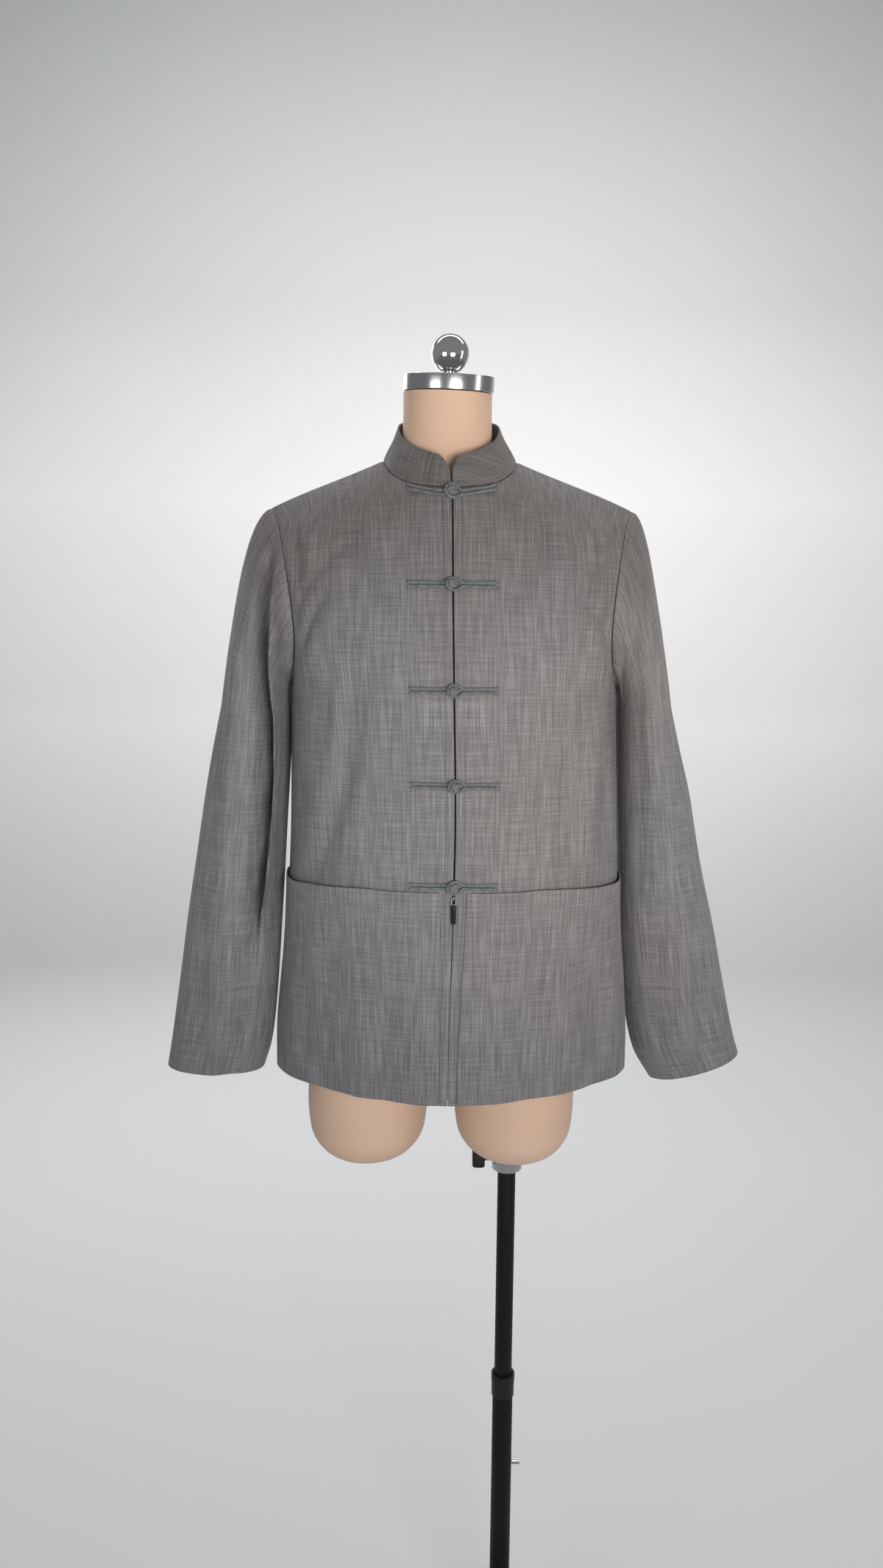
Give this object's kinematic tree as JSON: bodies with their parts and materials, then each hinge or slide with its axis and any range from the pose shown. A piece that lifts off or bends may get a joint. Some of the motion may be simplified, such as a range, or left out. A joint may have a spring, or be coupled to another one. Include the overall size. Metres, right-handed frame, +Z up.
{
  "type": "tang jacket on dress form stand",
  "caption": "Grey tang jacket with stand collar, knotted frogs and hip pockets, on a limbless dress form with a telescoping pole and round base.",
  "frame": {"origin": "centre of the base plate's underside, on the axis of the pole, at floor level", "axes": "+Z up along the pole, front of the jacket towards -Y, +X to the wearer's left"},
  "size_m": [0.764, 0.36, 1.8484],
  "materials": {
    "wool": "matt slubbed plain weave",
    "frog_cord": "matt twisted cloth cord",
    "zip_tape": "matt woven tape",
    "zip_metal": "satin",
    "zip_tab": "satin black",
    "jersey": "smooth beige jersey cover",
    "brushed": "brushed",
    "chrome": "mirror polished",
    "casting": "satin casting",
    "black_plastic": "moulded",
    "black_paint": "semi-gloss powder coat"
  },
  "bodies": {
    "base": {"base_plate": "black_paint", "base_hub": "black_paint", "lower_tube": "black_paint", "guide_ring": "black_plastic", "set_screw": "brushed"},
    "mast": {"mast_tube": "black_paint"},
    "figure": {"front_left": "wool", "front_right": "wool", "back": "wool", "sleeve_left": "wool", "sleeve_right": "wool", "collar": "wool", "pocket_left": "wool", "pocket_right": "wool", "frog_1_button_leg": "frog_cord", "frog_1_loop_leg": "frog_cord", "frog_1_button": "frog_cord", "frog_2_button_leg": "frog_cord", "frog_2_loop_leg": "frog_cord", "frog_2_button": "frog_cord", "frog_3_button_leg": "frog_cord", "frog_3_loop_leg": "frog_cord", "frog_3_button": "frog_cord", "frog_4_button_leg": "frog_cord", "frog_4_loop_leg": "frog_cord", "frog_4_button": "frog_cord", "frog_5_button_leg": "frog_cord", "frog_5_loop_leg": "frog_cord", "frog_5_button": "frog_cord", "zip_tape_left": "zip_tape", "zip_tape_right": "zip_tape", "zip_slider": "zip_metal", "form_torso": "jersey", "neck_cap": "brushed", "neck_ball": "chrome", "form_socket": "casting"},
    "zip_pull": {"zip_pull": "zip_tab"},
    "clamp": {"clamp_knob": "black_plastic", "clamp_bolt": "casting"}
  },
  "joints": [
    {"name": "mast_height", "type": "slide", "parent": "base", "child": "mast", "axis": [0, 0, 1], "range_m": [-0.1, 0.15]},
    {"name": "form_turn", "type": "hinge", "parent": "mast", "child": "figure", "pos_m": [0, 0, 0.8077], "axis": [0, 0, 1], "continuous": true},
    {"name": "zip_pull_swing", "type": "hinge", "parent": "figure", "child": "zip_pull", "pos_m": [-0.0774, -0.14556, 1.186], "axis": [-1, 0, 0], "range_deg": [0, 80]},
    {"name": "clamp_turn", "type": "hinge", "parent": "figure", "child": "clamp", "pos_m": [0, 0, 0.793], "axis": [-1, 0, 0], "continuous": true}
  ]
}
